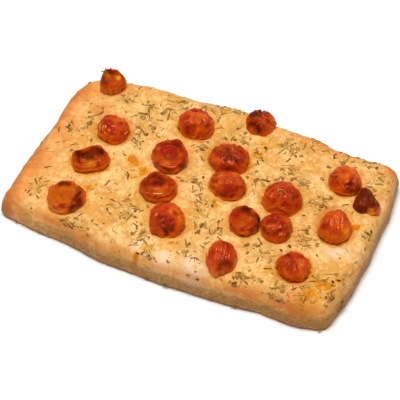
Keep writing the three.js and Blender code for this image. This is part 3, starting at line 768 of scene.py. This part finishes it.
def cup_points(ball, row, seed):
    """A half lying cut side up, its folds, and how much of each point is flesh and rim."""
    floor_level = row["floor"]
    profile = np.array([(0, floor_level + 0.05), (0.25, floor_level - 0.03), (0.55, floor_level),
                        (0.76, 0.76), (0.84, 0.83)] + CUP_SKIN)
    steps = np.hypot(*np.diff(profile, axis=0).T)
    reached = np.concatenate([[0], np.cumsum(steps)]) / steps.sum()
    rim_reach = reached[RIM_POINT]
    reach = np.arccos(np.clip(ball[:, 2], -1, 1)) / math.pi
    radius = np.interp(reach, reached, profile[:, 0])
    level = np.interp(reach, reached, profile[:, 1])
    around = np.arctan2(ball[:, 1], ball[:, 0])
    phase = seed * 1.7
    outline = 1 + radius * (outline_at(around, phase) - 1)
    on_rim = np.clip((radius - 0.6) / 0.15, 0, 1) * np.clip((level - 0.35) / 0.4, 0, 1)
    peak = sum(
        high * np.clip(np.cos(around + math.radians(row["turn"] - towards)), 0, None) ** 6
        for towards, high in row["peaks"]
    )
    flesh = 1 - smooth(np.clip((reach - rim_reach + 0.05) / 0.07, 0, 1))
    rim = np.exp(-(((reach - rim_reach) / 0.06) ** 2))
    place = np.stack([radius * np.cos(around), radius * np.sin(around), level * 0.8], axis=-1)
    shifted = place + seed * 5.1
    folds = 0.05 * lumps(shifted, 0.6) + 0.045 * ridges(shifted, 0.45)
    folds = folds + (1 - flesh) * 0.014 * ridges(shifted, 0.22)
    skin = 1 + folds
    pulp = flesh * (0.08 * ridges(shifted, 0.8) + 0.02 * ridges(shifted, 0.35))
    points = np.stack([
        place[:, 0] * row["wide"] / 2 * outline * skin,
        place[:, 1] * row["deep"] / 2 * outline * skin,
        (level + pulp) * row["tall"] + on_rim * (peak * 0.9 + 0.5 * np.cos(3 * around + phase)
                                                 + 0.5 * lumps(shifted, 0.3)),
    ], axis=-1)
    return points, folds + pulp, flesh, rim


# %% [markdown]
# ## Marks on the tomatoes
# The oven darkened each half where it stood highest. The lower flanks are painted more orange,
# a painted glow where the skin is stretched thin and light shines through, the creases are
# painted darker as shade and the ridges between them more orange as light. Cut faces show paler
# flesh. The marks of the table are found again by looking at each point along the camera's own
# right and up directions, and they fade out where the skin turns away to the far side.
# As on the crust, they go onto the mesh as attributes.

# %% Tomato marks and pieces
MARK_LEVEL = 30  # height of the point that the marks are measured from


def tomato_marks(ball, points, row, seed, folds, flesh, rim, facing):
    """Dark, crimson, orange and flesh for every point, 0 for none of it."""
    seen = points - (row["x"], row["y"], MARK_LEVEL)
    seen_right, seen_up = seen @ np.array(right), seen @ np.array(up)
    patches = lumps(ball + seed * 2.9, 0.5) + 0.6 * lumps(ball + seed * 1.3, 0.18)
    # Painted shade in the creases of the skin and painted light on the ridges between them
    crease_shade_ridge_light = np.clip(-folds / 0.06, -0.4, 1)
    totals = {
        "dark": 0.15 + 0.35 * crease_shade_ridge_light + 0.2 * patches + 0.15 * rim,
        "crimson": 0.15 + 0.6 * lumps(ball + seed * 4.7, 0.6),
        "orange": row["hue"] * 0.5 - 0.35 * crease_shade_ridge_light + 0.3 * patches,
    }
    # Painted light: the lower flanks are more orange, a painted glow of light through thin skin
    low = 1 - np.clip(ball[:, 2], 0, 1)
    totals["orange"] = totals["orange"] + 0.85 * low ** 2.5 * (1 - flesh)
    for kind, to_right, to_up, radius, strength in row["marks"]:
        spot = facing * bell(to_right, to_up, radius, seen_right, seen_up)
        totals[kind] = totals[kind] + strength * spot * (1 + 0.5 * patches)
    return {
        "dark": np.clip(totals["dark"], 0, 1),
        "crimson": np.clip(totals["crimson"], 0, 1),
        "orange": np.clip(totals["orange"], 0, 2),
        "flesh": flesh,
    }


tomato_trees = []


def tomato_piece(number, row, material):
    """One tomato half in its hollow."""
    shape = bmesh.new()
    bmesh.ops.create_icosphere(shape, subdivisions=6, radius=1)
    shape.verts.ensure_lookup_table()
    ball = np.array([vertex.co for vertex in shape.verts])
    if "floor" in row:
        points, folds, flesh, rim = cup_points(ball, row, number)
    else:
        points, folds = dome_points(ball, row, number)
        flesh = rim = np.zeros(len(ball))
    turned = (Matrix.Rotation(math.radians(row["turn"]), 3, "Z")
              @ Matrix.Rotation(math.radians(row["lean"]), 3, "Y"))
    points = points @ np.array(turned).T
    facing = smooth(np.clip((ball @ np.array(turned).T @ np.array(back) + 0.2) / 0.4, 0, 1))
    points += (row["x"], row["y"], dough_top(row["x"], row["y"]) - 1)
    low = points[:, 2] < HEIGHT
    places = points[low]
    floor_under = np.array([
        bread_tree.ray_cast(Vector((x * MM, y * MM, 1)), Vector((0, 0, -1)))[0].z / MM
        for x, y, _ in places
    ])
    points[low, 2] = np.maximum(places[:, 2], floor_under + CLEARANCE)
    for vertex, place in zip(shape.verts, points * MM):
        vertex.co = place
    marks = tomato_marks(ball, points, row, number, folds, flesh, rim, facing)
    tomato_trees.append(BVHTree.FromBMesh(shape))
    piece = finish_piece(f"roast_tomato_{number + 1:02d}", shape, material, marks)
    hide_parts(f"tomato_{number + 1:02d}")
    return piece


# %% [markdown]
# ## Roasted tomato skin
# Tomato skin is a thin, smooth film over wet flesh: glossy, with light scattering red
# beneath it. Its oily juice is orange, which warms the highlights, so the gloss is the
# shader's own reflection with a warm tint, over subsurface scattering that carries red
# furthest. Char is dry and dull, so it lowers the gloss.

# %% Tomato material
skin, skin_output = empty_material("roasted_tomato_skin")
tree = skin.node_tree
place = add_node(tree, "ShaderNodeTexCoord").outputs["Object"]
speckle = blotches(tree, place, 2.2, 4)
wrinkles = blotches(tree, place, 1.3, 3)
streaks = blotches(tree, place, 5)
colour = tint(tree, spread(tree, streaks, 0.35, 0.65), linear("#A02204"), linear("#C24206"))
flesh_tone = tint(tree, spread(tree, streaks, 0.35, 0.65), linear("#A02E02"), linear("#B24A04"))
colour = tint(tree, times(tree, mark(tree, "flesh"), 0.7), colour, flesh_tone)
# The orange mark: the skin's own orange, with painted glow on the flanks and light on ridges
ripe_and_glow_orange = tint(tree, mark(tree, "flesh"), linear("#D45C08"), linear("#BA6408"))
colour = tint(tree, spread(tree, mark(tree, "orange"), 0.2, 1.0, 0, 0.9), colour, ripe_and_glow_orange)
colour = tint(tree, spread(tree, mark(tree, "orange"), 1.1, 2.0, 0, 0.9), colour, linear("#E8941E"))
crimson = spread(tree, mark(tree, "crimson"), 0.1, 0.9, 0, 0.85)
colour = tint(tree, crimson, colour, linear("#94100A"))
# The dark mark is char, and painted shade in the creases
uneven_dark = times(tree, mark(tree, "dark"), spread(tree, speckle, 0.35, 0.6, 0.9, 1.1))
colour = tint(tree, spread(tree, uneven_dark, 0.15, 0.75, 0, 0.9), colour, linear("#742206"))
colour = tint(tree, spread(tree, uneven_dark, 0.8, 1.2, 0, 0.85), colour, linear("#34120A"))
skin_bump = add_node(tree, "ShaderNodeBump",
                     {"Height": wrinkles, "Strength": 0.35, "Distance": 0.3 * MM})
wetness = times(tree, spread(tree, uneven_dark, 0.4, 1.1, 0.48, 0.12),
                spread(tree, mark(tree, "flesh"), 0, 1, 1, 0.4))
film = add_node(tree, "ShaderNodeBsdfPrincipled", {
    "Base Color": colour,
    "Roughness": spread(tree, uneven_dark, 0.3, 1, 0.22, 0.4),
    "IOR": 1.4,
    "Specular IOR Level": wetness,
    "Specular Tint": linear("#FFB48C"),
    "Subsurface Weight": 0.2,
    "Subsurface Radius": (1.0, 0.25, 0.08),
    "Subsurface Scale": 2 * MM,
    "Normal": skin_bump.outputs["Normal"],
})
tree.links.new(film.outputs[0], skin_output.inputs[0])

tomato_pieces = [tomato_piece(number, row, skin) for number, row in enumerate(TOMATOES)]
print(len(tomato_pieces), "tomato halves, each of", len(tomato_pieces[0].data.polygons), "faces")

# %% [markdown]
# ## Where the herbs fell
# The mix is mostly dried rosemary needles, with thyme and oregano leaves, a few pale stalks
# and a dust of crumbled bits. It was thrown from above by hand, so it lies in drifts with
# loose pieces between them. The larger ones repeat the solids' own draw, number for number,
# and finer ones are added by a second draw. None lies across a tomato, apart from a few
# that are placed on purpose.

# %% Herb drifts and draws
DRIFT_SPREAD = 7
LONE_HERBS = 26
HERB_SEED = 1877
NEEDLE = dict(long=6.5, wide=1.2, thick=1.1)
FLAKE = dict(long=4, wide=2.4, thick=0.9)
NEEDLE_SHARE = 0.62
HERB_SIZES = (0.7, 1.25)
HERB_BENDS = (-0.6, 0.6)


def solid_draw(seed):
    """The solids' own random numbers from 0 to 1, by a linear congruential rule."""
    state = seed
    while True:
        state = (state * 1664525 + 1013904223) % 4294967296
        yield state / 4294967296


def clear_of_tomatoes(x, y, reach):
    """Whether a herb that reaches this far would lie beside all tomatoes."""
    return all(
        math.hypot(x - row["x"], y - row["y"]) >= max(row["wide"], row["deep"]) * 0.53 + reach + 0.8
        for row in TOMATOES
    )


def solid_herbs():
    """The herbs that the solids have: kind, x, y, angle, size and bend."""
    draw = solid_draw(HERB_SEED)
    found = []

    def drop_herb(x, y):
        kind = "needle" if next(draw) < NEEDLE_SHARE else "flake"
        size = mix(*HERB_SIZES, next(draw))
        angle = next(draw) * math.pi
        bend = mix(*HERB_BENDS, next(draw))
        reach = (NEEDLE if kind == "needle" else FLAKE)["long"] * size / 2
        on_crust = abs(x / HALF_LENGTH) < 0.93 and abs(y / HALF_DEPTH) < 0.9
        if on_crust and clear_of_tomatoes(x, y, reach):
            px, py = plan_point(np.float64(x / HALF_LENGTH), np.float64(y / HALF_DEPTH))
            found.append((kind, px, py, angle, size, bend))

    for drift_x, drift_y, count in DRIFTS:
        for _ in range(count):
            dx = DRIFT_SPREAD * (next(draw) + next(draw) - 1)
            dy = DRIFT_SPREAD * (next(draw) + next(draw) - 1)
            drop_herb(drift_x + 1.6 * dx, drift_y + 1.2 * dy)
    for _ in range(LONE_HERBS):
        x = (2 * next(draw) - 1) * HALF_LENGTH * 0.92
        drop_herb(x, (2 * next(draw) - 1) * HALF_DEPTH * 0.9)
    return found


large_herbs = solid_herbs()
print(len(large_herbs), "herbs are in the solids too")

# %% [markdown]
# ## One herb at a time
# A dried needle is stiff and only bends a little to the crust under it. So each herb is laid
# along a short curve through three points of the surface: one under its middle and one under
# either end. The ball it starts from has a few dozen faces, enough for a thing one millimetre
# wide, because there are hundreds of them. Herbs of one kind are one mesh, and a number drawn
# for each is stored with it, from which the material picks its colour.

# %% Laying a herb on a surface
def surface_under(tree, place):
    """The nearest point of a surface to a place in millimetres, and the surface's direction."""
    found, normal, _, _ = tree.find_nearest(Vector(place) * MM)
    return found / MM, normal


def lay_herb(shape, tones, tree, place, angle, form, size, bend, lift, tone):
    """Adds one herb to a mesh that holds all herbs of its kind."""
    middle, outward = surface_under(tree, place)
    heading = Vector((math.cos(angle), math.sin(angle), 0))
    heading = (heading - outward * heading.dot(outward)).normalized()
    sideways = outward.cross(heading)
    half = form["long"] * size / 2
    ahead, _ = surface_under(tree, middle + heading * half)
    behind, _ = surface_under(tree, middle - heading * half)
    slope = (ahead - behind) / 2
    sag = (ahead + behind) / 2 - middle
    made = bmesh.ops.create_uvsphere(shape, u_segments=6, v_segments=6, radius=1,
                                     matrix=Matrix.Rotation(math.pi / 2, 4, "Y"))
    for vertex in made["verts"]:
        long, wide, thick = vertex.co
        spine = middle + slope * long + sag * long * long * 0.8
        blunt = (1 - long * long + 0.02) ** -0.2 if abs(long) < 0.95 else 1
        cup = form.get("cup", 0) * wide * wide
        vertex.co = (
            spine
            + sideways * (wide * blunt * form["wide"] * size / 2 + bend * long * long)
            + outward * ((thick * blunt / 2 + lift) * form["thick"] + cup)
        ) * MM
        vertex[tones] = tone


def new_herb_mesh():
    """An empty mesh for herbs of one kind, and the layer that holds their tones."""
    shape = bmesh.new()
    return shape, shape.verts.layers.float.new("tone")


# %% [markdown]
# ## Dried herb finish
# Dried leaves are dull and fibrous. Rosemary dries to a grey olive, thyme darker, and pieces
# that the oven caught turn brown, with straw-coloured stalks between. One material serves
# all: it picks from a ramp of those colours by the number that was drawn for each piece.

# %% Dried herb material
herb, herb_output = empty_material("dried_rosemary_and_thyme")
tree = herb.node_tree
place = add_node(tree, "ShaderNodeTexCoord").outputs["Object"]
ramp = add_node(tree, "ShaderNodeValToRGB", {"Fac": mark(tree, "tone")})
HERB_TONES = [
    (0.0, "#4C2E10"), (0.25, "#805824"), (0.5, "#A67832"), (0.75, "#C49448"), (1.0, "#E4BF7C"),
]
ramp.color_ramp.elements[0].color = linear(HERB_TONES[0][1])
ramp.color_ramp.elements[1].color = linear(HERB_TONES[-1][1])
for position, hex_colour in HERB_TONES[1:-1]:
    ramp.color_ramp.elements.new(position).color = linear(hex_colour)
fibres = blotches(tree, place, 0.7)
veined = spread(tree, fibres, 0.4, 0.7, 0, 0.35)
colour = tint(tree, veined, ramp.outputs["Color"], linear("#5E3E1A"))
leaf = add_node(tree, "ShaderNodeBsdfPrincipled",
                {"Base Color": colour, "Roughness": 0.7, "IOR": 1.45, "Specular IOR Level": 0.08})
tree.links.new(leaf.outputs[0], herb_output.inputs[0])

# %% The finer herbs and where they may fall
herb_draw = random.Random(41)
FINE_NEEDLE = dict(long=4.4, wide=0.9, thick=0.65)
FINE_FLAKE = dict(long=2.9, wide=1.7, thick=0.4, cup=0.25)
STALK = dict(long=7, wide=0.7, thick=0.65)
CLUMP_SPREAD = 3.2
FULL_CLUMP = 7  # a clump of this many bits gets as many herbs as a drift does
LOOSE_DRIFT = (7, 5.5)  # how far the finer herbs spread from a drift's middle, along x and y
LOOSE_LIMIT = (124, 78)  # no loose herb falls further out, along x and y
FINE_PER_DRIFT = 6
FINE_LONE = 130
STALKS = 60
SPECKS_PER_DRIFT = 16
SPECKS = 450
SIDE_LEAVES = 20
SIDE_SPECKS = 160
SHOULDER_FROM = 0.9  # share of the way from the middle to the edge
ABOVE_CRUST = 30  # height from which the crust is found
ABOVE_SHOULDER = 24
BESIDE = 4  # millimetres outside the slab from which the sides are found
FRONT_SPAN, FRONT_HEIGHTS = (-112, 118), (2, 22)
END_SPAN, END_HEIGHTS = (-60, 62), (2, 20)
# Bits that lie low on the sides: x, y and height
SIDE_BITS = [(126, -49, 8), (127, -47, 9), (126, -51, 6.5), (6, -80, 2.5), (55, -80, 2.5)]
NEEDLES_PER_SIDE_BIT = 3
# Bits that the oven burnt almost black: x and y
BURNT_BITS = [(-15.9, -74.5), (33.4, 17.5), (27, 45), (113, -44), (116, -41), (113, -57)]


def herb_tone(low=0.15, high=0.95):
    """A drawn place on the ramp of herb colours, most often midway from low to high."""
    return herb_draw.triangular(low, high, (low + high) / 2)


def over_crust(x, y):
    """A place in space over the plan, near enough to the crust for the nearest point to be it."""
    edge = max(abs(x) / HALF_LENGTH, abs(y) / HALF_DEPTH)
    return (x, y, ABOVE_CRUST if edge < SHOULDER_FROM else ABOVE_SHOULDER)


def loose_places(drift_count, lone_count, reach):
    """Places in the drifts and between them, clear of the tomatoes."""
    wanted = [
        (x + herb_draw.gauss(0, LOOSE_DRIFT[0]), y + herb_draw.gauss(0, LOOSE_DRIFT[1]))
        for x, y, _ in DRIFTS for _ in range(drift_count)
    ]
    wanted += [
        (x + herb_draw.gauss(0, CLUMP_SPREAD), y + herb_draw.gauss(0, CLUMP_SPREAD))
        for x, y, bits in CLUMPS for _ in range(round(bits * drift_count / FULL_CLUMP))
    ]
    for _ in range(lone_count):
        s_lone, t_lone = herb_draw.uniform(-1, 1), herb_draw.uniform(-1, 1)
        wanted.append(plan_point(np.float64(s_lone), np.float64(t_lone)))
    return [over_crust(x, y) for x, y in wanted
            if clear_of_tomatoes(x, y, reach)
            and abs(x) < LOOSE_LIMIT[0] and abs(y) < LOOSE_LIMIT[1]]


def side_places(count):
    """Places beside the front and the two ends, where bits stuck to the oiled sides."""
    beside = [
        (herb_draw.uniform(*FRONT_SPAN), -HALF_DEPTH - BESIDE, herb_draw.uniform(*FRONT_HEIGHTS))
        for _ in range(count)
    ]
    beside += [
        (herb_draw.choice((-1, 1)) * (HALF_LENGTH + BESIDE),
         herb_draw.uniform(*END_SPAN), herb_draw.uniform(*END_HEIGHTS))
        for _ in range(count // 2)
    ]
    return beside + SIDE_BITS


# %% Needles, leaves and stalks
needles, needle_tones = new_herb_mesh()
flakes, flake_tones = new_herb_mesh()
stalks, stalk_tones = new_herb_mesh()
large_kinds = {"needle": (needles, needle_tones, NEEDLE), "flake": (flakes, flake_tones, FLAKE)}
for kind, x, y, angle, size, bend in large_herbs:
    mesh, tones, form = large_kinds[kind]
    lay_herb(mesh, tones, bread_tree, (x, y, ABOVE_CRUST), angle, form, size, bend, 0.15,
             herb_tone())
for place in loose_places(FINE_PER_DRIFT, FINE_LONE, 1.5):
    lay_herb(needles, needle_tones, bread_tree, place, herb_draw.uniform(0, math.pi), FINE_NEEDLE,
             herb_draw.uniform(0.5, 1.35), herb_draw.gauss(0, 0.25), 0.1, herb_tone(0, 1))
for place in SIDE_BITS * NEEDLES_PER_SIDE_BIT:
    lay_herb(needles, needle_tones, bread_tree, place, herb_draw.uniform(0, math.pi), FINE_NEEDLE,
             herb_draw.uniform(0.7, 1.1), herb_draw.gauss(0, 0.25), 1.2, herb_tone(0, 0.6))
for x, y in BURNT_BITS:
    lay_herb(flakes, flake_tones, bread_tree, over_crust(x, y), herb_draw.uniform(0, math.pi),
             FINE_FLAKE, 1, 0.2, 0.2, 0)
for place in loose_places(FINE_PER_DRIFT, FINE_LONE, 0.8) + side_places(SIDE_LEAVES):
    lay_herb(flakes, flake_tones, bread_tree, place, herb_draw.uniform(0, math.pi), FINE_FLAKE,
             herb_draw.uniform(0.4, 1.2), herb_draw.uniform(-0.3, 0.3), 0.2, herb_tone(0, 1))
for place in loose_places(1, STALKS, 2.5):
    lay_herb(stalks, stalk_tones, bread_tree, place, herb_draw.uniform(0, math.pi), STALK,
             herb_draw.uniform(0.5, 1.1), herb_draw.uniform(-0.5, 0.5), 0.3, herb_tone(0.7, 1))
print(len(needles.faces), "needle faces and", len(flakes.faces), "leaf faces")

# %% Dust of crumbled herbs
specks, speck_tones = new_herb_mesh()
for place in loose_places(SPECKS_PER_DRIFT, SPECKS, 0.3) + side_places(SIDE_SPECKS):
    middle, outward = surface_under(bread_tree, place)
    size = herb_draw.uniform(0.25, 0.55)
    stretch = Matrix.Diagonal((size, size * herb_draw.uniform(0.5, 1), size * 0.45, 1))
    turned = outward.to_track_quat("Z", "Y").to_matrix().to_4x4()
    spun = Matrix.Rotation(herb_draw.uniform(0, math.tau), 4, "Z")
    made = bmesh.ops.create_icosphere(
        specks, subdivisions=1, radius=1,
        matrix=Matrix.Scale(MM, 4) @ Matrix.Translation(middle) @ turned @ spun @ stretch)
    tone = herb_tone(0.1, 0.95)
    for vertex in made["verts"]:
        vertex[speck_tones] = tone
print(len(specks.faces), "faces of dust")

# %% Herbs on the tomatoes
# Each bit: the tomato, how far right and up of its middle as seen, its heading, size and tone
TOMATO_HERBS = [
    (1, -4, 10, 60, 0.6, 0.3), (1, -6, 8, 120, 0.5, 0.4), (1, 0, 10, 20, 0.5, 0.5),
    (2, -9, -1, 70, 0.9, 0.85), (2, -7, -2, 65, 0.8, 0.9), (2, 9, -5, 60, 0.7, 0.95),
    (7, 2, 4, 100, 0.5, 0.9), (7, -4, 5, 20, 0.6, 0.3), (8, 0, -5.5, 15, 1.0, 1.0),
    (12, -2, 2, 60, 0.5, 0.85), (12, 1, 3, 150, 0.5, 0.8), (12, -1, 4, 20, 0.5, 0.9),
    (12, -3, 4, 110, 0.45, 0.95), (12, -1, 1, 80, 0.4, 0.9), (13, 4, 1, 100, 0.7, 0.6),
    (14, -5, -1.5, 45, 0.7, 0.85), (14, 2, -1.5, 110, 0.6, 0.85), (15, -9, 2, 90, 0.7, 0.9),
    (17, -6, 0, 60, 0.5, 0.7), (17, -2, -6, 140, 0.7, 0.6),
]
CAST_FROM = 0.1  # metres in front of a tomato


def aim_at(number, to_right, to_up):
    """The place in metres this far right and up of a tomato's middle, as the camera sees it."""
    row = TOMATOES[number - 1]
    return (Vector((row["x"], row["y"], MARK_LEVEL)) + right * to_right + up * to_up) * MM


for number, to_right, to_up, heading, size, tone in TOMATO_HERBS:
    start = aim_at(number, to_right, to_up) + back * CAST_FROM
    struck = tomato_trees[number - 1].ray_cast(start, -back)[0]
    if struck:
        lay_herb(stalks, stalk_tones, tomato_trees[number - 1], struck / MM, math.radians(heading),
                 STALK, size, 0.2, 0.4, tone)

# %% [markdown]
# ## Sprigs and the finished herbs
# A few needles hang together and stick out past the edge of the slab or up from a tomato.
# Laid flat like the rest they would be lost, so these fan out from one root along the
# surface's own direction. Then each kind of herb becomes one piece.

# %% Sprigs that stand off the surface
# Each sprig: x, y and height near the surface, how many needles and how long they are
SPRIGS = [(125.5, -48, 10, 8, 5), (124, -52, 6, 5, 4), (115, -69, 3, 3, 2.5), (-112, -66, 3, 2, 2)]
# On a tomato: which one, how far right and up of its middle as seen, needles and length
TOMATO_SPRIGS = [(1, -6, 9, 3, 4), (1, -2, 9.5, 2, 3), (11, 0, 8, 2, 2.5), (18, 5, 2, 2, 2.5)]
SPRIG_WIDTH = 0.9


def add_sprig(shape, tones, root, outward, count, long):
    """Needles that fan out from one root."""
    for _ in range(count):
        fan = Vector([herb_draw.uniform(-0.7, 0.7) for _ in range(3)])
        tip = (outward + fan).normalized()
        half = long / 2 * herb_draw.uniform(0.7, 1.1)
        stretch = Matrix.Diagonal((half, SPRIG_WIDTH / 2, SPRIG_WIDTH / 2, 1))
        spun = tip.to_track_quat("X", "Z").to_matrix().to_4x4()
        placed = Matrix.Scale(MM, 4) @ Matrix.Translation(root + tip * half * 0.7)
        made = bmesh.ops.create_uvsphere(shape, u_segments=6, v_segments=6, radius=1,
                                         matrix=placed @ spun @ stretch)
        tone = herb_tone(0, 0.7)
        for vertex in made["verts"]:
            vertex[tones] = tone


for x, y, z, count, long in SPRIGS:
    root, outward = surface_under(bread_tree, (x, y, z))
    add_sprig(needles, needle_tones, root, outward, count, long)
for number, to_right, to_up, count, long in TOMATO_SPRIGS:
    aim = aim_at(number, to_right, to_up)
    root, outward = surface_under(tomato_trees[number - 1], aim / MM)
    add_sprig(needles, needle_tones, root, outward, count, long)

# %% Herb pieces
finish_piece("rosemary_needles", needles, herb)
finish_piece("thyme_leaves", flakes, herb)
finish_piece("herb_stalks", stalks, herb)
finish_piece("herb_dust", specks, herb)
